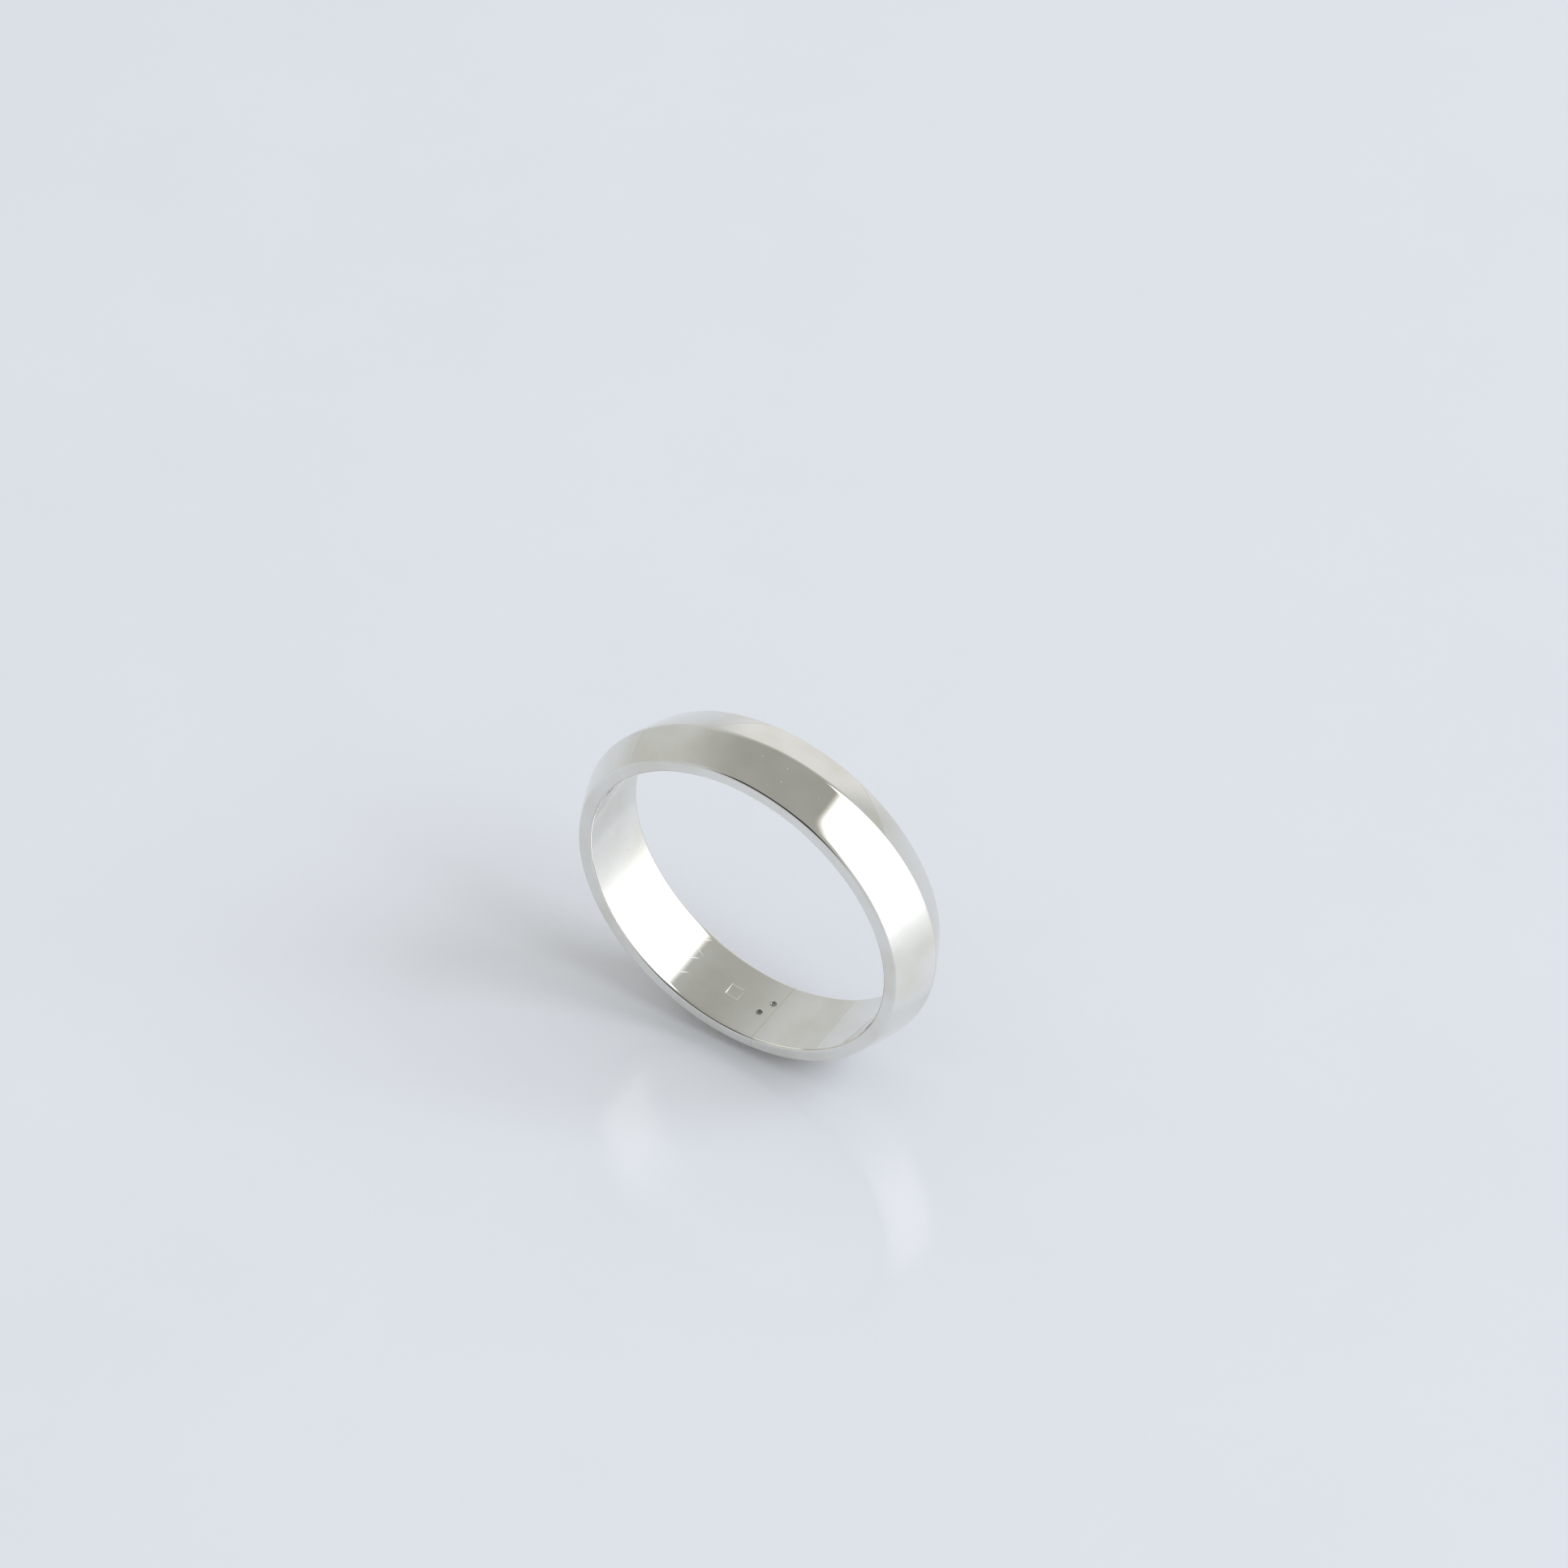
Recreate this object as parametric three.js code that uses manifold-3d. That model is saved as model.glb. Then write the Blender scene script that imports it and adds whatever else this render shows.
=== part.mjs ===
// A knife-edge wedding band: one strip of sterling silver, bent round and closed by a hard-soldered butt
// joint. Its two sloping facets bulge a little and meet in a softly worn crest, which was filed by eye and
// wanders off the middle of the width.
//
// Millimetres, +Z up. The origin is the centre of the finger hole. The band stands on its edge, as it would
// on a table, so its axis lies along Y: the two flat side faces look along -Y and +Y, and the finger goes
// through along Y.

import * as THREE from 'three';
import { mergeVertices } from 'three/addons/utils/BufferGeometryUtils.js';
import Module from 'manifold-3d';

const wasm = await Module();
wasm.setup();

// Driving dimensions

const boreDiameter = 18.5; // the finger hole, about US ring size 8 1/2
const bandWidth = 4.5; // along the finger, from side face to side face
const sideWall = 0.74; // metal from the bore out to the sharp corner of the side face, before it is eased
const crestWall = 1.55; // metal from the bore out to the top of the crest
const crestRadius = 0.5; // the soft round where the two sloping facets meet
const facetRadius = 18; // the long, gentle bulge of each facet
const cornerRadius = 0.2; // the eased corner between a side face and its facet
const rimRadius = 0.14; // the eased rim at each end of the bore

const crestWander = 0.5; // how far the crest runs off the middle of the width, where it is furthest off
const wanderAngle = 5; // where it is furthest off towards +Y, in degrees from +X towards +Z

const seamWidth = 0.12; // thickness of the solder in the joint
const seamAngle = 276; // where the joint lies, in degrees from +X towards +Z, so just past the lowest point
const seamOverrun = 1; // how far the cutting slab stands past the metal on every side

const punchDepth = 0.06; // how deep the assay punches sink into the bore
const dotDiameter = 0.3; // the two round punches
const squareSide = 0.75; // the square punch
// Where each punch sits: along the bore back from the joint, and across from the middle of the width
const dotPlaces = [
  { fromSeam: 0.7, across: -0.35 },
  { fromSeam: 0.36, across: 0.55 },
];
const squarePlace = { fromSeam: 2.56, across: 0.1 };

const ringSteps = 96; // flats round the ring, a multiple of four
const crestSteps = 6; // flats across the crest
const facetSteps = 3; // flats across each facet
const rimSteps = 3; // flats round each bore rim
const cornerSteps = 3; // flats round each eased corner
const dotSteps = 12; // flats round a round punch

// Values worked out from the driving dimensions

const boreRadius = boreDiameter / 2;
const halfWidth = bandWidth / 2;
const sideRadius = boreRadius + sideWall;
const crestCentre = boreRadius + crestWall - crestRadius;
const crestAngle = crestEndAngle();
// The facet's bulge is centred here, on the far side of the section
const facetCentreOut = crestCentre - (facetRadius - crestRadius) * Math.cos(crestAngle);
const facetCentreAcross = -(facetRadius - crestRadius) * Math.sin(crestAngle);

// The facet's bulge runs on smoothly from the crest's round and reaches the sharp corner of the side face.
// This is the angle between its normal and the radial direction where it leaves the crest.
function crestEndAngle() {
  const rise = sideRadius - crestCentre;
  const distance = Math.hypot(rise, halfWidth);
  const centreGap = facetRadius - crestRadius;
  const cosine = (facetRadius ** 2 - centreGap ** 2 - distance ** 2) / (2 * centreGap * distance);
  return Math.atan2(halfWidth, rise) - Math.acos(cosine);
}

// Points of a round stretch, as (outwards, across). Angles turn from outwards (0) to +Y (a quarter turn).
function arc(centreOut, centreAcross, radius, startAngle, endAngle, steps) {
  const points = [];
  for (let i = 0; i <= steps; i += 1) {
    const angle = startAngle + ((endAngle - startAngle) * i) / steps;
    const outwards = centreOut + radius * Math.cos(angle);
    const across = centreAcross + radius * Math.sin(angle);
    points.push(new THREE.Vector2(outwards, across));
  }
  return points;
}

// The band's section, once round: from the bore's -Y rim, over the crest, to its +Y rim and back down the
// bore.
function sectionOutline() {
  const cornerAcross = halfWidth - cornerRadius;
  const cornerGap = facetRadius - cornerRadius;
  const cornerAngle = Math.asin((cornerAcross - facetCentreAcross) / cornerGap);
  const cornerCentre = facetCentreOut + cornerGap * Math.cos(cornerAngle);
  const rimCentre = boreRadius + rimRadius;
  const rimAcross = halfWidth - rimRadius;
  const quarter = Math.PI / 2;
  const out = facetCentreOut;
  const across = facetCentreAcross;
  const facetPoints = arc(out, across, facetRadius, crestAngle, cornerAngle, facetSteps).slice(1, -1);
  const mirrored = facetPoints.map((point) => new THREE.Vector2(point.x, -point.y)).reverse();
  const outline = [
    ...arc(rimCentre, -rimAcross, rimRadius, -Math.PI, -quarter, rimSteps),
    ...arc(cornerCentre, -cornerAcross, cornerRadius, -quarter, -cornerAngle, cornerSteps),
    ...mirrored,
    ...arc(crestCentre, 0, crestRadius, -crestAngle, crestAngle, crestSteps),
    ...facetPoints,
    ...arc(cornerCentre, cornerAcross, cornerRadius, cornerAngle, quarter, cornerSteps),
    ...arc(rimCentre, rimAcross, rimRadius, quarter, Math.PI, rimSteps),
  ];
  outline.push(outline[0].clone());
  return outline;
}

// Solids for cutting and joining

function solidFrom(geometry) {
  geometry.deleteAttribute('normal');
  geometry.deleteAttribute('uv');
  const merged = mergeVertices(geometry, 1e-5);
  const vertProperties = new Float32Array(merged.attributes.position.array);
  const triVerts = new Uint32Array(merged.index.array);
  return new wasm.Manifold(new wasm.Mesh({ numProp: 3, vertProperties, triVerts }));
}

function geometryFrom(solid) {
  const mesh = solid.getMesh();
  const geometry = new THREE.BufferGeometry();
  geometry.setAttribute('position', new THREE.BufferAttribute(mesh.vertProperties, 3));
  geometry.setIndex(new THREE.BufferAttribute(mesh.triVerts, 1));
  geometry.computeVertexNormals();
  return geometry;
}

// Moves a shape whose +X looks outwards to a place round the ring.
function placeRound(geometry, angle, outwards, across) {
  geometry.translate(outwards, across, 0);
  geometry.rotateY(-THREE.MathUtils.degToRad(angle));
  return geometry;
}

// Slides the outside across the width, most at the crest and not at all at the side faces. The bore and its
// rims stay as they are.
function wanderCrest(geometry) {
  const places = geometry.attributes.position;
  for (let i = 0; i < places.count; i += 1) {
    const across = places.getY(i);
    const outwards = Math.hypot(places.getX(i), places.getZ(i));
    if (outwards > boreRadius + 1.01 * rimRadius) {
      const angle = Math.atan2(places.getZ(i), places.getX(i));
      const share = 1 - Math.abs(across) / halfWidth;
      const slide = crestWander * Math.cos(angle - THREE.MathUtils.degToRad(wanderAngle));
      places.setY(i, across + slide * share);
    }
  }
  return geometry;
}

function makeRing() {
  return solidFrom(wanderCrest(new THREE.LatheGeometry(sectionOutline(), ringSteps)));
}

// A slab across the whole section, as thick as the solder.
function makeSeamSlab() {
  const deep = crestWall + 2 * seamOverrun;
  const wide = bandWidth + 2 * seamOverrun;
  const slab = new THREE.BoxGeometry(deep, wide, seamWidth);
  return solidFrom(placeRound(slab, seamAngle, boreRadius + crestWall / 2, 0));
}

// A punch reaches from inside the finger hole to its depth in the metal. The bore's flats sit a little
// inside its radius, and the punch is measured from them.
function makePunch(shape, place) {
  const boreFlat = boreRadius * Math.cos(Math.PI / ringSteps);
  const angle = seamAngle - THREE.MathUtils.radToDeg(place.fromSeam / boreRadius);
  return solidFrom(placeRound(shape, angle, boreFlat, place.across));
}

function makeDotPunch(place) {
  const shape = new THREE.CylinderGeometry(dotDiameter / 2, dotDiameter / 2, 2 * punchDepth, dotSteps);
  shape.rotateZ(Math.PI / 2);
  return makePunch(shape, place);
}

function makeSquarePunch(place) {
  const shape = new THREE.BoxGeometry(2 * punchDepth, squareSide, squareSide);
  return makePunch(shape, place);
}

// Pieces

const polishedSilver = new THREE.MeshStandardMaterial({ color: 0xd6d5cf, roughness: 0.08, metalness: 1 });
const solderedSilver = new THREE.MeshStandardMaterial({ color: 0xc4bda6, roughness: 0.2, metalness: 1 });

function makePiece(name, solid, material) {
  const piece = new THREE.Mesh(geometryFrom(solid), material);
  piece.name = name;
  return piece;
}

const ring = makeRing();
const seamSlab = makeSeamSlab();

let strip = ring.subtract(seamSlab);
for (const place of dotPlaces) {
  strip = strip.subtract(makeDotPunch(place));
}
strip = strip.subtract(makeSquarePunch(squarePlace));

const group = new THREE.Group();
group.add(makePiece('band', strip, polishedSilver));
group.add(makePiece('solder_seam', ring.intersect(seamSlab), solderedSilver));

export default group;
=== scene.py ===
import math

import bmesh
import bpy
from mathutils import Matrix, Vector, noise


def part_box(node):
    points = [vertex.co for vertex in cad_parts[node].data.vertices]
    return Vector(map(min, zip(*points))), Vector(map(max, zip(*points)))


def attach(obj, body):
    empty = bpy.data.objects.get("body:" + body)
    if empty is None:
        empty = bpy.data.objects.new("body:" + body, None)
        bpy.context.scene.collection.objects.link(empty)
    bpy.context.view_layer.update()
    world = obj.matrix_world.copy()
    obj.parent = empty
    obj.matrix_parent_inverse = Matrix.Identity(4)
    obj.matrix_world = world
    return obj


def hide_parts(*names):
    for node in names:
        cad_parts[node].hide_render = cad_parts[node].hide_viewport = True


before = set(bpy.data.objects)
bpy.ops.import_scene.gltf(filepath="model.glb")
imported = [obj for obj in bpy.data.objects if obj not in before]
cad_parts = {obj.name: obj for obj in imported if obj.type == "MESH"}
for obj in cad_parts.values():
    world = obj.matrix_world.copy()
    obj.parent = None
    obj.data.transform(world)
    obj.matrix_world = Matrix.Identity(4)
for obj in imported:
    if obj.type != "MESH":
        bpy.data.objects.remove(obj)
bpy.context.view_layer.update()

mm = 0.001
mergeDistance = 0.0005 * mm
sharpAngle = math.radians(40)  # edges that turn by more than this are shaded sharp
scene = bpy.context.scene

# The band's own sizes, read from the CAD solids: it stands upright, with its axis along Y
cadLow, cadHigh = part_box("band")
crestHeight = cadHigh.x
halfWidth = cadHigh.y
floorHeight = cadLow.z


def linearColor(hexColor):
    # sRGB hex to the linear colour that shaders take
    channels = []
    for start in (1, 3, 5):
        value = int(hexColor[start:start + 2], 16) / 255
        channels.append(value / 12.92 if value <= 0.04045 else ((value + 0.055) / 1.055) ** 2.4)
    return (*channels, 1.0)


def addNode(tree, kind, settings=None, inputs=None):
    # Each input is a value, a socket, or a node whose first output is linked
    node = tree.nodes.new(kind)
    for name, value in (settings or {}).items():
        setattr(node, name, value)
    for name, value in (inputs or {}).items():
        if isinstance(value, bpy.types.Node):
            value = value.outputs[0]
        if isinstance(value, bpy.types.NodeSocket):
            tree.links.new(value, node.inputs[name])
        else:
            node.inputs[name].default_value = value
    return node


def newMaterial(name):
    material = bpy.data.materials.new(name)
    material.use_nodes = True
    tree = material.node_tree
    tree.nodes.clear()
    return material, tree


def finishMesh(name, bm, material, smooth=True):
    # Doubles go first, then the faces are turned outwards
    bmesh.ops.remove_doubles(bm, verts=bm.verts, dist=mergeDistance)
    bmesh.ops.recalc_face_normals(bm, faces=bm.faces)
    mesh = bpy.data.meshes.new(name)
    bm.to_mesh(mesh)
    bm.free()
    for polygon in mesh.polygons:
        polygon.use_smooth = smooth
    mesh.set_sharp_from_angle(angle=sharpAngle)
    mesh.materials.append(material)
    piece = bpy.data.objects.new(name, mesh)
    scene.collection.objects.link(piece)
    return piece


# ---- camera

cameraView = {
    "azimuth": 32.9,  # degrees round from the band's axis
    "elevation": 44.9,
    "distance": 301.7 * mm,
    "right": 1.38 * mm,  # how far the view's centre sits from the band's centre
    "up": 5.5 * mm,
    "lens": 130.4,
    "sensor": 36,
    "nearest": 0.01,
    "farthest": 10,
}

azimuth = math.radians(cameraView["azimuth"])
elevation = math.radians(cameraView["elevation"])
viewRight = Vector((math.cos(azimuth), math.sin(azimuth), 0))
viewForward = Vector((-math.sin(azimuth) * math.cos(elevation), math.cos(azimuth) * math.cos(elevation),
                      -math.sin(elevation)))
viewUp = viewRight.cross(viewForward)
cameraData = bpy.data.cameras.new("camera")
cameraData.lens = cameraView["lens"]
cameraData.sensor_width = cameraView["sensor"]
cameraData.clip_start = cameraView["nearest"]
cameraData.clip_end = cameraView["farthest"]
camera = bpy.data.objects.new("camera", cameraData)
camera.matrix_world = Matrix.Translation(
    viewRight * cameraView["right"] + viewUp * cameraView["up"] - viewForward * cameraView["distance"]
) @ Matrix((viewRight, viewUp, -viewForward)).transposed().to_4x4()
scene.collection.objects.link(camera)
scene.camera = camera
print("camera placed")

# ---- materials

perMm = 1000  # Object coordinates are metres, so this counts a pattern in millimetres

silverLook = {
    "clean": "#E9E8E3",
    "tarnished": "#DAD7CB",
    "tarnishPerMm": 0.3,
    "tarnishStart": 0.45,  # where in the noise the tarnish begins, and where it is strongest
    "tarnishFull": 0.75,
    "tarnishStrength": 0.8,
    "cleanRoughness": 0.03,
    "smudgedRoughness": 0.075,
    "smudgesPerMm": 0.9,
    "smudgeStart": 0.48,
    "smudgeFull": 0.7,
    "wheelLineSpacing": 0.05,  # mm; true ones are a few microns apart, too fine to draw
    "wheelLineChange": 0.12,  # how often a line changes along its length, per mm
    "wheelLineDepth": 0.00012 * mm,
    "scratchDepth": 0.0009 * mm,
    "scratchRoughness": 0.12,
    "dustColour": "#CFCBC2",
    "dustRoughness": 0.9,
    "dustSpacing": 0.8,
    "dustSize": 0.03,
    "dustShare": 0.5,
    "recess": "#4A453A",  # the darker colour in and just round the punch marks
    "recessRoughness": 0.3,
}

# Sets of wear scratches: the angle they lie at from the band's length, and how many mm long and wide a cell
# of the pattern is. A scratch reaches a small share of its cell.
scratchSets = [
    {"angle": 14, "cellLength": 11, "cellWidth": 0.34, "reach": 0.06, "share": 0.55},
    {"angle": -38, "cellLength": 8, "cellWidth": 0.40, "reach": 0.055, "share": 0.45},
    {"angle": 72, "cellLength": 6, "cellWidth": 0.45, "reach": 0.05, "share": 0.35},
]

# Sterling silver, mirror polished and then worn: bright, with a faintly warm grey cast and a few hairlines
silver, tree = newMaterial("polished_sterling_silver")
objectPlace = addNode(tree, "ShaderNodeTexCoord").outputs["Object"]
unrolled = addNode(tree, "ShaderNodeUVMap", {"uv_map": "unrolled"})
darkening = addNode(tree, "ShaderNodeTexNoise", inputs={
    "Vector": objectPlace, "Scale": silverLook["tarnishPerMm"] * perMm, "Detail": 3.0})
tarnishShare = addNode(tree, "ShaderNodeMapRange", inputs={
    "Value": darkening, "From Min": silverLook["tarnishStart"], "From Max": silverLook["tarnishFull"],
    "To Min": 0.0, "To Max": silverLook["tarnishStrength"]})
metalTint = addNode(tree, "ShaderNodeMix", {"data_type": "RGBA"}, {
    0: tarnishShare, 6: linearColor(silverLook["clean"]), 7: linearColor(silverLook["tarnished"])})
smudge = addNode(tree, "ShaderNodeTexNoise", inputs={
    "Vector": objectPlace, "Scale": silverLook["smudgesPerMm"] * perMm,
    "Detail": 5.0, "Roughness": 0.6, "Distortion": 0.8})
smudgeRoughness = addNode(tree, "ShaderNodeMapRange", inputs={
    "Value": smudge, "From Min": silverLook["smudgeStart"], "From Max": silverLook["smudgeFull"],
    "To Min": silverLook["cleanRoughness"], "To Max": silverLook["smudgedRoughness"]})
# Lines left round the band by the polishing wheel
wheelPlace = addNode(tree, "ShaderNodeMapping", inputs={
    "Vector": unrolled, "Scale": (silverLook["wheelLineChange"], 1 / silverLook["wheelLineSpacing"], 1.0)})
wheel = addNode(tree, "ShaderNodeTexNoise", {"noise_dimensions": "2D"}, {
    "Vector": wheelPlace, "Scale": 1.0, "Detail": 2.0})
wheelBump = addNode(tree, "ShaderNodeBump", inputs={
    "Height": wheel, "Distance": silverLook["wheelLineDepth"]})
scratches = None
for wear in scratchSets:
    turned = addNode(tree, "ShaderNodeVectorRotate", {"rotation_type": "Z_AXIS"}, {
        "Vector": unrolled, "Angle": math.radians(wear["angle"])})
    cells = addNode(tree, "ShaderNodeMapping", inputs={
        "Vector": turned, "Scale": (1 / wear["cellLength"], 1 / wear["cellWidth"], 1.0)})
    cell = addNode(tree, "ShaderNodeTexVoronoi", {"voronoi_dimensions": "2D"}, {
        "Vector": cells, "Scale": 1.0})
    line = addNode(tree, "ShaderNodeMapRange", inputs={
        "Value": cell.outputs["Distance"], "From Min": 0.0, "From Max": wear["reach"],
        "To Min": 1.0, "To Max": 0.0})
    pick = addNode(tree, "ShaderNodeSeparateColor", inputs={0: cell.outputs["Color"]})
    chosen = addNode(tree, "ShaderNodeMath", {"operation": "LESS_THAN"}, {0: pick, 1: wear["share"]})
    line = addNode(tree, "ShaderNodeMath", {"operation": "MULTIPLY"}, {0: line, 1: chosen})
    if scratches is None:
        scratches = line
    else:
        scratches = addNode(tree, "ShaderNodeMath", {"operation": "MAXIMUM"}, {0: scratches, 1: line})
scratchBump = addNode(tree, "ShaderNodeBump", {"invert": True}, {
    "Height": scratches, "Distance": silverLook["scratchDepth"], "Normal": wheelBump})
wornRoughness = addNode(tree, "ShaderNodeMath", {"operation": "MULTIPLY_ADD"}, {
    0: scratches, 1: silverLook["scratchRoughness"], 2: smudgeRoughness})
# Specks of dust sit on the metal, dull and pale
dustCell = addNode(tree, "ShaderNodeTexVoronoi", {"voronoi_dimensions": "2D"}, {
    "Vector": unrolled, "Scale": 1 / silverLook["dustSpacing"]})
dustPick = addNode(tree, "ShaderNodeSeparateColor", inputs={0: dustCell.outputs["Color"]})
dustReach = addNode(tree, "ShaderNodeMath", {"operation": "MULTIPLY"}, {
    0: dustPick.outputs[1], 1: silverLook["dustSize"] / silverLook["dustSpacing"]})
dustNear = addNode(tree, "ShaderNodeMath", {"operation": "LESS_THAN"}, {
    0: dustCell.outputs["Distance"], 1: dustReach})
dustChosen = addNode(tree, "ShaderNodeMath", {"operation": "LESS_THAN"}, {
    0: dustPick, 1: silverLook["dustShare"]})
dust = addNode(tree, "ShaderNodeMath", {"operation": "MULTIPLY"}, {0: dustNear, 1: dustChosen})
# The punch marks and a little round them are darker and rougher, set by an attribute on the band's own points
recess = addNode(tree, "ShaderNodeAttribute", {"attribute_name": "darkening"}).outputs["Fac"]
tint = addNode(tree, "ShaderNodeMix", {"data_type": "RGBA"}, {
    0: recess, 6: metalTint.outputs[2], 7: linearColor(silverLook["recess"])})
roughness = addNode(tree, "ShaderNodeMath", {"operation": "MULTIPLY_ADD"}, {
    0: recess, 1: silverLook["recessRoughness"], 2: wornRoughness})
metalShader = addNode(tree, "ShaderNodeBsdfPrincipled", inputs={
    "Base Color": tint.outputs[2], "Metallic": 1.0, "Roughness": roughness, "Normal": scratchBump})
dustShader = addNode(tree, "ShaderNodeBsdfPrincipled", inputs={
    "Base Color": linearColor(silverLook["dustColour"]), "Roughness": silverLook["dustRoughness"]})
dustyMetal = addNode(tree, "ShaderNodeMixShader", inputs={0: dust, 1: metalShader, 2: dustShader})
addNode(tree, "ShaderNodeOutputMaterial", inputs={"Surface": dustyMetal})

solderLook = {
    "clean": "#E8E6DE",
    "dull": "#DCD8CA",
    "dullPatchesPerMm": 2.0,
    "smoothRoughness": 0.04,
    "pittedRoughness": 0.09,
    "pitSpacing": 0.06,
    "pitDepth": 0.0001 * mm,
    "pitStart": 0.4,
    "pitFull": 0.7,
}

# Silver solder, filed and polished flush: a shade warmer than the band and finely pitted, so it shows
# as a hairline
solder, tree = newMaterial("silver_solder")
objectPlace = addNode(tree, "ShaderNodeTexCoord").outputs["Object"]
pits = addNode(tree, "ShaderNodeTexNoise", inputs={
    "Vector": objectPlace, "Scale": perMm / solderLook["pitSpacing"], "Detail": 2.0})
dullness = addNode(tree, "ShaderNodeTexNoise", inputs={
    "Vector": objectPlace, "Scale": solderLook["dullPatchesPerMm"] * perMm, "Detail": 3.0})
tint = addNode(tree, "ShaderNodeMix", {"data_type": "RGBA"}, {
    0: dullness, 6: linearColor(solderLook["clean"]), 7: linearColor(solderLook["dull"])})
roughness = addNode(tree, "ShaderNodeMapRange", inputs={
    "Value": pits, "From Min": solderLook["pitStart"], "From Max": solderLook["pitFull"],
    "To Min": solderLook["smoothRoughness"], "To Max": solderLook["pittedRoughness"]})
pitBump = addNode(tree, "ShaderNodeBump", inputs={"Height": pits, "Distance": solderLook["pitDepth"]})
shader = addNode(tree, "ShaderNodeBsdfPrincipled", inputs={
    "Base Color": tint.outputs[2], "Metallic": 1.0, "Roughness": roughness, "Normal": pitBump})
addNode(tree, "ShaderNodeOutputMaterial", inputs={"Surface": shader})

boardLook = {
    "halfSize": 3,
    "light": "#D9DADB",
    "shade": "#D5D6D7",
    "mottleSpacing": 18,
    "mottleStart": 0.35,
    "mottleFull": 0.65,
    "glossyRoughness": 0.12,
    "dullRoughness": 0.17,
    "peelSpacing": 1.6,
    "peelDepth": 0.002 * mm,
}

# White lacquered board: smooth, with a faint sheen and the slight orange peel of sprayed lacquer
tabletop, tree = newMaterial("white_lacquered_board")
objectPlace = addNode(tree, "ShaderNodeTexCoord").outputs["Object"]
mottle = addNode(tree, "ShaderNodeTexNoise", inputs={
    "Vector": objectPlace, "Scale": perMm / boardLook["mottleSpacing"], "Detail": 6.0, "Roughness": 0.7})
tint = addNode(tree, "ShaderNodeMix", {"data_type": "RGBA"}, {
    0: mottle, 6: linearColor(boardLook["light"]), 7: linearColor(boardLook["shade"])})
roughness = addNode(tree, "ShaderNodeMapRange", inputs={
    "Value": mottle, "From Min": boardLook["mottleStart"], "From Max": boardLook["mottleFull"],
    "To Min": boardLook["glossyRoughness"], "To Max": boardLook["dullRoughness"]})
peel = addNode(tree, "ShaderNodeTexNoise", inputs={
    "Vector": objectPlace, "Scale": perMm / boardLook["peelSpacing"], "Detail": 1.0})
peelBump = addNode(tree, "ShaderNodeBump", inputs={"Height": peel, "Distance": boardLook["peelDepth"]})
shader = addNode(tree, "ShaderNodeBsdfPrincipled", inputs={
    "Base Color": tint.outputs[2], "Roughness": roughness, "Normal": peelBump})
addNode(tree, "ShaderNodeOutputMaterial", inputs={"Surface": shader})
print("materials made")

# ---- the band

band = {
    "boreRadius": 9.25 * mm,
    "sideWall": 0.74 * mm,  # from the bore out to the sharp corner of the side face
    "crestRound": 0.5 * mm,
    "facetRound": 18 * mm,  # the long bulge of each facet
    "cornerRound": 0.2 * mm,
    "rimRound": 0.14 * mm,
    "crestWander": 0.5 * mm,  # how far the crest runs off the middle, where it is furthest off
    "wanderAngle": 5,  # where that is, in degrees from +X towards +Z
    "crestSteps": 14,
    "facetSteps": 22,
    "cornerSteps": 8,
    "rimSteps": 6,
    "sideSteps": 5,
    "boreSteps": 40,
    "roundSteps": 480,
}

joint = {
    "angle": 276,  # degrees from +X towards +Z, just past the lowest point
    "width": 0.12 * mm,
    "steps": 4,
}

# Polishing by hand leaves the metal a few microns off true, which bends what it mirrors
handPolish = [
    {"spacing": 3.2 * mm, "height": 0.005 * mm},
    {"spacing": 0.9 * mm, "height": 0.0008 * mm},
]

punch = {
    "depth": 0.06 * mm,
    "wall": 0.045 * mm,  # how far the sloping side of a punch mark spreads
    "burr": 0.006 * mm,
    "burrSharpness": 1.6,
    "darkeningReach": 1.5,  # how many walls' widths the darkening spreads past the mark's edge
    "cuts": 5,
}
# Each mark's last value sets how much darker its colour is, from none to strong
punchMarks = [
    {"square": False, "size": 0.3 * mm, "fromJoint": 0.7 * mm, "across": -0.35 * mm, "darkening": 0.75},
    {"square": False, "size": 0.3 * mm, "fromJoint": 0.36 * mm, "across": 0.55 * mm, "darkening": 0.65},
    {"square": True, "size": 0.75 * mm, "fromJoint": 2.56 * mm, "across": 0.1 * mm, "darkening": 0.0},
]


def roundStretch(bm, centre, radius, startAngle, endAngle, steps):
    # Part of a circle in the plane of +X and Y, with angles turning from +X towards +Y
    out = centre[0] + radius * math.cos(startAngle)
    across = centre[1] + radius * math.sin(startAngle)
    start = bm.verts.new((out, across, 0))
    bmesh.ops.spin(bm, geom=[start], cent=(centre[0], centre[1], 0), axis=(0, 0, 1),
                   angle=endAngle - startAngle, steps=steps)


def straightStretch(bm, start, end, steps):
    # The long flats get rows of their own, so that they stay flat when they are shaded smooth
    first = bm.verts.new((start[0], start[1], 0))
    step = ((end[0] - start[0]) / steps, (end[1] - start[1]) / steps, 0)
    bmesh.ops.spin(bm, geom=[first], cent=(0, 0, 0), axis=(0, 0, 1), dvec=step, angle=0, steps=steps)


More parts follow.
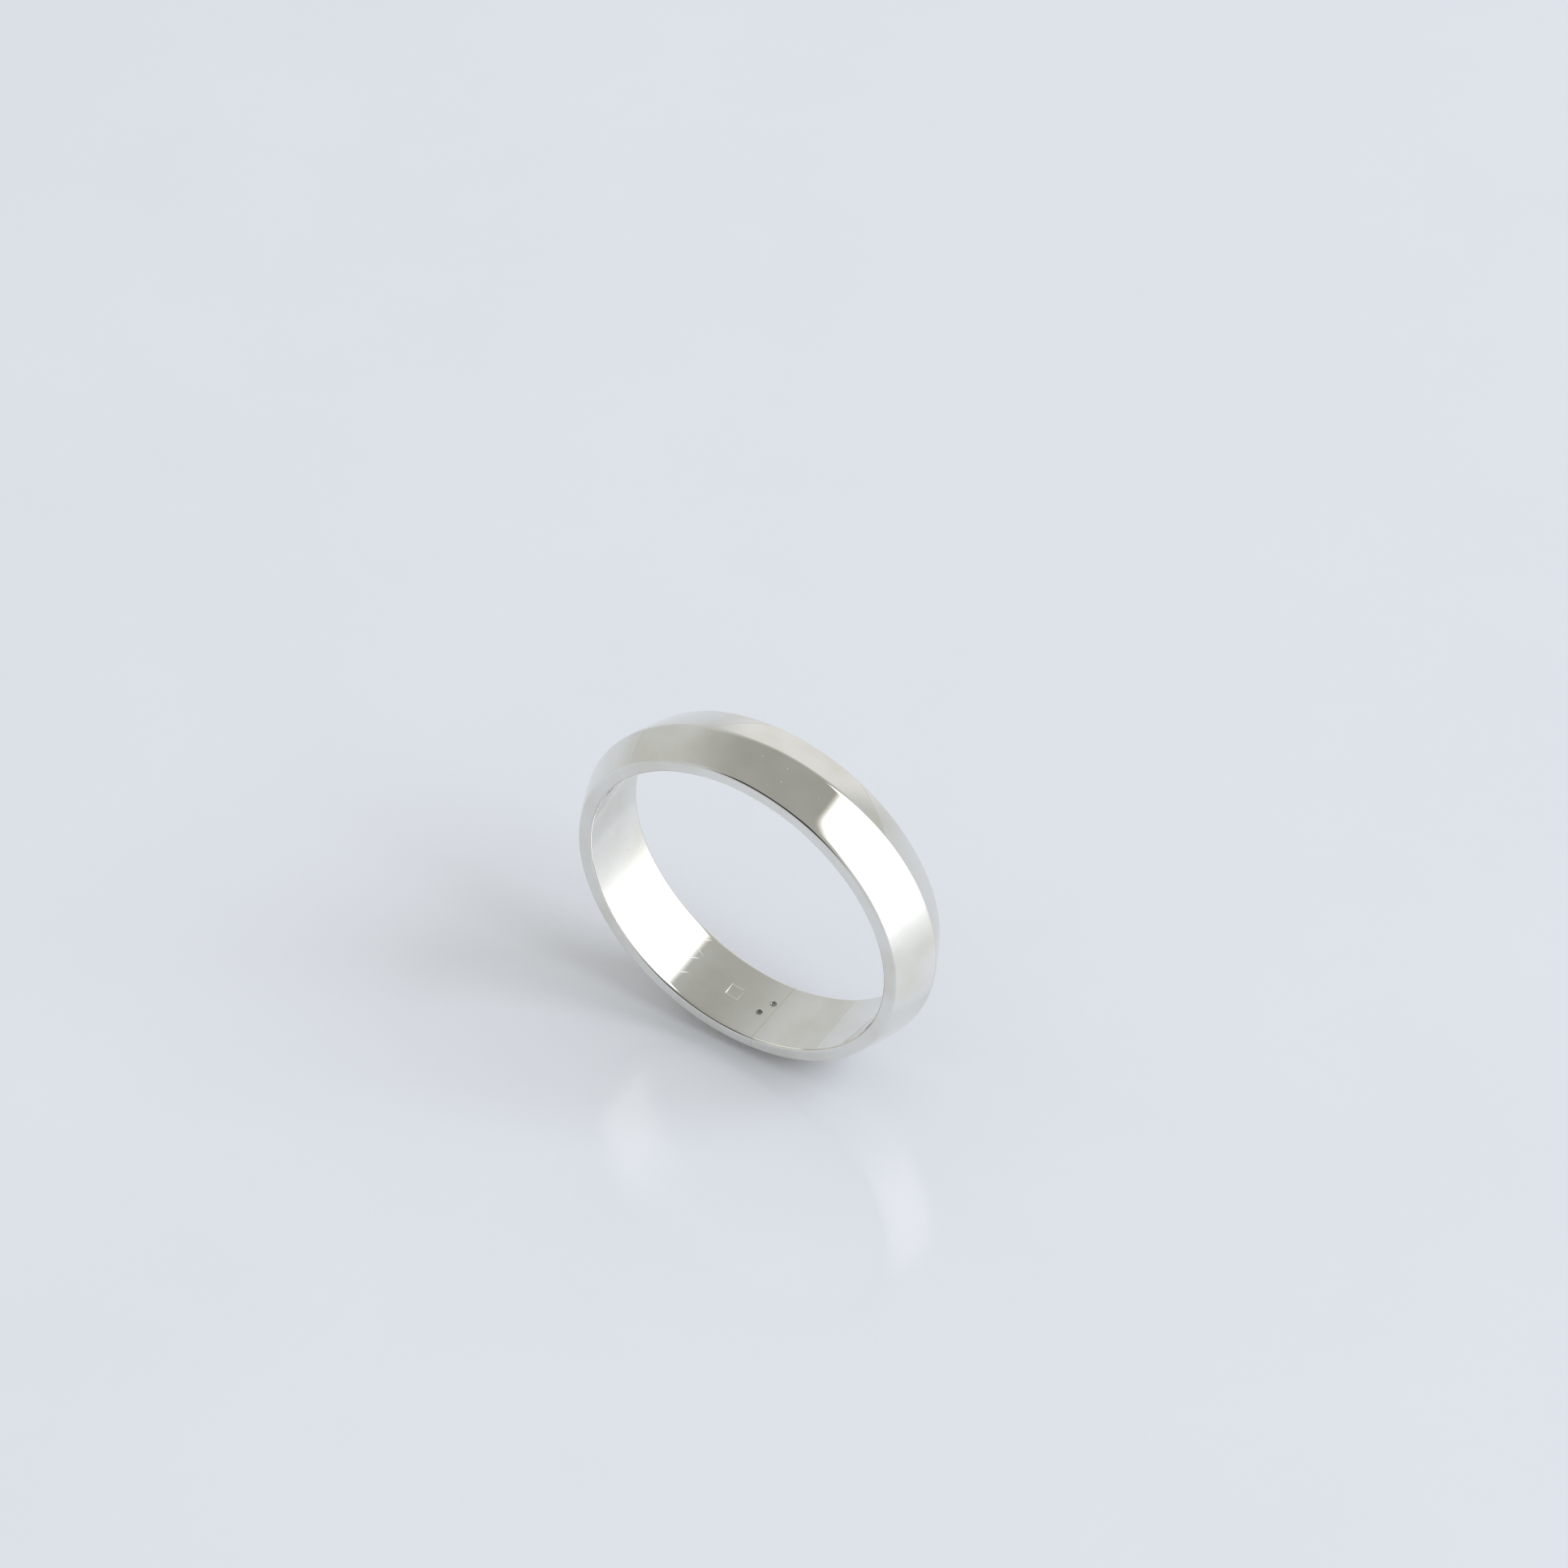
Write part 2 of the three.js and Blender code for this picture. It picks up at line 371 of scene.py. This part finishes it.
def bandSection(bm):
    sideRadius = band["boreRadius"] + band["sideWall"]
    crestCentre = crestHeight - band["crestRound"]
    gap = band["facetRound"] - band["crestRound"]
    reach = math.hypot(sideRadius - crestCentre, halfWidth)
    crestAngle = math.atan2(halfWidth, sideRadius - crestCentre) - math.acos(
        (band["facetRound"] ** 2 - gap ** 2 - reach ** 2) / (2 * gap * reach))
    facetOut = crestCentre - gap * math.cos(crestAngle)
    facetAcross = -gap * math.sin(crestAngle)
    cornerAcross = halfWidth - band["cornerRound"]
    cornerGap = band["facetRound"] - band["cornerRound"]
    cornerAngle = math.asin((cornerAcross - facetAcross) / cornerGap)
    cornerOut = facetOut + cornerGap * math.cos(cornerAngle)
    rimOut = band["boreRadius"] + band["rimRound"]
    rimAcross = halfWidth - band["rimRound"]
    quarter = math.pi / 2
    roundStretch(bm, (crestCentre, 0), band["crestRound"], -crestAngle, crestAngle, band["crestSteps"])
    straightStretch(bm, (band["boreRadius"], -rimAcross), (band["boreRadius"], rimAcross), band["boreSteps"])
    for side in (-1, 1):
        roundStretch(bm, (facetOut, side * facetAcross), band["facetRound"],
                     side * crestAngle, side * cornerAngle, band["facetSteps"])
        roundStretch(bm, (cornerOut, side * cornerAcross), band["cornerRound"],
                     side * cornerAngle, side * quarter, band["cornerSteps"])
        straightStretch(bm, (cornerOut, side * halfWidth), (rimOut, side * halfWidth), band["sideSteps"])
        roundStretch(bm, (rimOut, side * rimAcross), band["rimRound"],
                     side * quarter, side * math.pi, band["rimSteps"])
    bmesh.ops.remove_doubles(bm, verts=bm.verts, dist=mergeDistance)


def spinSection(startAngle, sweep, steps):
    # Angles run from +X towards +Z, against the right-handed turn about +Y
    bm = bmesh.new()
    bandSection(bm)
    bmesh.ops.rotate(bm, verts=bm.verts[:], cent=(0, 0, 0), matrix=Matrix.Rotation(-startAngle, 3, "Y"))
    bmesh.ops.spin(bm, geom=bm.verts[:] + bm.edges[:], cent=(0, 0, 0), axis=(0, 1, 0),
                   angle=-sweep, steps=steps)
    bmesh.ops.holes_fill(bm, edges=[e for e in bm.edges if e.is_boundary], sides=0)
    bmesh.ops.recalc_face_normals(bm, faces=bm.faces)
    return bm


def wanderCrest(bm):
    # The outside slides across the width, most at the crest and not at all at the side faces
    for vert in bm.verts:
        if math.hypot(vert.co.x, vert.co.z) > band["boreRadius"] + 1.01 * band["rimRound"]:
            slide = band["crestWander"] * math.cos(
                math.atan2(vert.co.z, vert.co.x) - math.radians(band["wanderAngle"]))
            vert.co.y += slide * (1 - abs(vert.co.y) / halfWidth)


def sinkPunches(bm):
    # The bore's faces are cut finer round each mark, and then pressed outwards
    darkening = bm.verts.layers.float.new("darkening")
    onSurface = 2 * punch["depth"]  # nothing further than this from the bore is touched
    for mark in punchMarks:
        angle = jointAngle - mark["fromJoint"] / band["boreRadius"]
        outwards = Vector((math.cos(angle), 0, math.sin(angle)))
        along = Vector((-math.sin(angle), 0, math.cos(angle)))
        across = Vector((0, 1, 0))
        centre = outwards * band["boreRadius"] + across * mark["across"]
        reach = mark["size"] / 2 + 2 * punch["wall"]
        near = []
        for face in bm.faces:
            offset = face.calc_center_median() - centre
            if abs(offset.dot(outwards)) < onSurface:
                if abs(offset.dot(along)) < reach and abs(offset.dot(across)) < reach:
                    near.append(face)
        edges = list({edge for face in near for edge in face.edges})
        bmesh.ops.subdivide_edges(bm, edges=edges, cuts=punch["cuts"], use_grid_fill=True)
        for vert in bm.verts:
            offset = vert.co - centre
            if abs(offset.dot(outwards)) > onSurface:
                continue
            u, v = abs(offset.dot(along)), abs(offset.dot(across))
            if mark["square"]:
                beyond = max(u, v) - mark["size"] / 2
            else:
                beyond = math.hypot(u, v) - mark["size"] / 2
            if beyond > 3 * punch["wall"]:
                continue
            sunk = min(max(0.5 - beyond / punch["wall"], 0), 1)
            sunk = sunk * sunk * (3 - 2 * sunk)
            burr = math.exp(-((beyond - punch["wall"]) / punch["wall"] * punch["burrSharpness"]) ** 2)
            vert.co += outwards * (punch["depth"] * sunk - punch["burr"] * burr)
            # Each mark's colour is darkened, reaching a little past its edge
            spread = min(max(1 - beyond / punch["wall"] / punch["darkeningReach"], 0), 1)
            vert[darkening] = max(vert[darkening], spread * mark["darkening"])


def rollPolish(bm):
    # The surface rises and falls by a few microns
    for vert in bm.verts:
        outwards = Vector((vert.co.x, 0, vert.co.z)).normalized()
        for wave in handPolish:
            vert.co += outwards * noise.noise(vert.co / wave["spacing"]) * wave["height"]


def unrollFaces(bm):
    # UVs in millimetres, round the band from the joint and across it, with the outside shifted off the bore
    outsideShift = 30
    layer = bm.loops.layers.uv.new("unrolled")
    for face in bm.faces:
        middle = face.calc_center_median()
        onSide = abs(middle.y) > halfWidth - band["cornerRound"] / 3
        onBore = math.hypot(middle.x, middle.z) < band["boreRadius"] + band["rimRound"] / 2
        for loop in face.loops:
            place = loop.vert.co
            fromJoint = (math.atan2(place.z, place.x) - jointAngle) % (2 * math.pi)
            across = place.y / mm
            if onSide:
                across = math.hypot(place.x, place.z) / mm * math.copysign(1, middle.y)
            elif not onBore:
                across += outsideShift
            loop[layer].uv = (fromJoint * crestHeight / mm, across)


jointHalf = joint["width"] / 2 / band["boreRadius"]
jointAngle = math.radians(joint["angle"])
bm = spinSection(jointAngle + jointHalf, 2 * math.pi - 2 * jointHalf, band["roundSteps"])
wanderCrest(bm)
sinkPunches(bm)
rollPolish(bm)
unrollFaces(bm)
silverBand = finishMesh("silver_band", bm, silver)
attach(silverBand, "root")
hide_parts("band")
print("band made")

bm = spinSection(jointAngle - jointHalf, 2 * jointHalf, joint["steps"])
wanderCrest(bm)
rollPolish(bm)
solderJoint = finishMesh("solder_joint", bm, solder)
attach(solderJoint, "root")
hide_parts("solder_seam")
print("solder joint made")

# ---- floor

bm = bmesh.new()
bmesh.ops.create_grid(bm, x_segments=1, y_segments=1, size=boardLook["halfSize"])
bmesh.ops.translate(bm, verts=bm.verts, vec=(0, 0, floorHeight))
floor = finishMesh("tabletop", bm, tabletop, smooth=False)
print("floor made")

# ---- lights

keyLight = {
    "bearing": 70,  # degrees round from the camera's side, to its right
    "elevation": 44,
    "distance": 1.5,
    "width": 1.2,
    "height": 0.85,
    "power": 14.5,
    "colour": "#E6EEFF",
}

fillColour = "#F5F7F9"
fillGlow = 0.855

# Plain studio cards for the polished silver to mirror: a grey overhead, a softbox on the key light's side, a dark
# card by the camera and a pale one behind. Bearings run from the camera's side to its right, in degrees. "glow"
# is 1 unless it is given, and each card covers the ones before it.
cardGlow = 1.25
surroundGrey = "#BEC0C0"
studioCards = [
    {"what": "overhead", "bearing": 0, "elevation": 90, "width": 400, "height": 90, "soft": 40,
     "colour": "#9C9C98"},
    {"what": "dark card", "bearing": -30, "elevation": 35, "width": 80, "height": 40, "soft": 15,
     "colour": "#303030"},
    {"what": "pale card", "bearing": 160, "elevation": 10, "width": 40, "height": 40, "soft": 10,
     "colour": "#D8D8D8"},
    {"what": "softbox", "bearing": 80, "elevation": 30, "width": 60, "height": 60, "soft": 8,
     "colour": "#FFFFFF", "glow": 2.0},
]

turnToCamera = math.pi / 2 - azimuth  # from +X to the camera's side


def bearingPoint(bearing, height, distance):
    angle = math.radians(bearing)
    rise = math.radians(height)
    ahead = Vector((viewForward.x, viewForward.y, 0)).normalized()
    level = viewRight * math.sin(angle) - ahead * math.cos(angle)
    return (level * math.cos(rise) + Vector((0, 0, math.sin(rise)))) * distance


def softMask(tree, offset, half, soft):
    # 1 within half the width of the middle, falling away over the soft edge
    distance = addNode(tree, "ShaderNodeMath", {"operation": "ABSOLUTE"}, {0: offset})
    mask = addNode(tree, "ShaderNodeMapRange", {"interpolation_type": "SMOOTHSTEP"}, {
        "Value": distance, "From Min": half - soft / 2, "From Max": half + soft / 2,
        "To Min": 1.0, "To Max": 0.0})
    return mask.outputs["Result"]


def glowing(hexColor, strength):
    return [channel * strength for channel in linearColor(hexColor)[:3]] + [1.0]


lightData = bpy.data.lights.new("window_softbox", "AREA")
lightData.shape = "RECTANGLE"
lightData.size = keyLight["width"]
lightData.size_y = keyLight["height"]
lightData.energy = keyLight["power"]
lightData.color = linearColor(keyLight["colour"])[:3]
light = bpy.data.objects.new("window_softbox", lightData)
light.location = bearingPoint(keyLight["bearing"], keyLight["elevation"], keyLight["distance"])
light.rotation_euler = light.location.to_track_quat("Z", "Y").to_euler()
light.visible_glossy = False  # the silver mirrors the soft-edged cards instead
scene.collection.objects.link(light)

world = bpy.data.worlds.new("studio")
scene.world = world
world.use_nodes = True
world.cycles.sampling_method = "NONE"
tree = world.node_tree
tree.nodes.clear()
direction = addNode(tree, "ShaderNodeTexCoord").outputs["Generated"]
turned = addNode(tree, "ShaderNodeVectorRotate", {"rotation_type": "Z_AXIS"}, {
    "Vector": direction, "Angle": turnToCamera})
parts = addNode(tree, "ShaderNodeSeparateXYZ", inputs={0: turned})
turn = addNode(tree, "ShaderNodeMath", {"operation": "ARCTAN2"}, {
    0: parts.outputs["Y"], 1: parts.outputs["X"]})
bearing = addNode(tree, "ShaderNodeMath", {"operation": "DEGREES"}, {0: turn})
lift = addNode(tree, "ShaderNodeMath", {"operation": "ARCSINE"}, {0: parts.outputs["Z"]})
rise = addNode(tree, "ShaderNodeMath", {"operation": "DEGREES"}, {0: lift})

surround = addNode(tree, "ShaderNodeRGB")
surround.outputs[0].default_value = glowing(surroundGrey, cardGlow)
mirroredColour = surround.outputs[0]
for card in studioCards:
    above = addNode(tree, "ShaderNodeMath", {"operation": "SUBTRACT"}, {0: rise, 1: card["elevation"]})
    aside = addNode(tree, "ShaderNodeMath", {"operation": "SUBTRACT"}, {0: bearing, 1: card["bearing"]})
    nearest = addNode(tree, "ShaderNodeMath", {"operation": "WRAP"}, {0: aside, 1: 180.0, 2: -180.0})
    across = softMask(tree, nearest, card["width"] / 2, card["soft"])
    upright = softMask(tree, above, card["height"] / 2, card["soft"])
    covered = addNode(tree, "ShaderNodeMath", {"operation": "MULTIPLY"}, {0: across, 1: upright})
    mix = addNode(tree, "ShaderNodeMix", {"data_type": "RGBA"}, {
        0: covered, 6: mirroredColour, 7: glowing(card["colour"], card.get("glow", 1) * cardGlow)})
    mirroredColour = mix.outputs[2]

# Only mirrored rays see the cards. All others see a plain pale surround.
cardsLit = addNode(tree, "ShaderNodeBackground", inputs={"Color": mirroredColour, "Strength": 1.0})
plain = addNode(tree, "ShaderNodeBackground", inputs={"Color": linearColor(fillColour), "Strength": fillGlow})
mirrored = addNode(tree, "ShaderNodeLightPath").outputs["Is Glossy Ray"]
studio = addNode(tree, "ShaderNodeMixShader", inputs={0: mirrored, 1: plain, 2: cardsLit})
addNode(tree, "ShaderNodeOutputWorld", inputs={"Surface": studio})
scene.view_settings.view_transform = "Standard"
print("lights made")
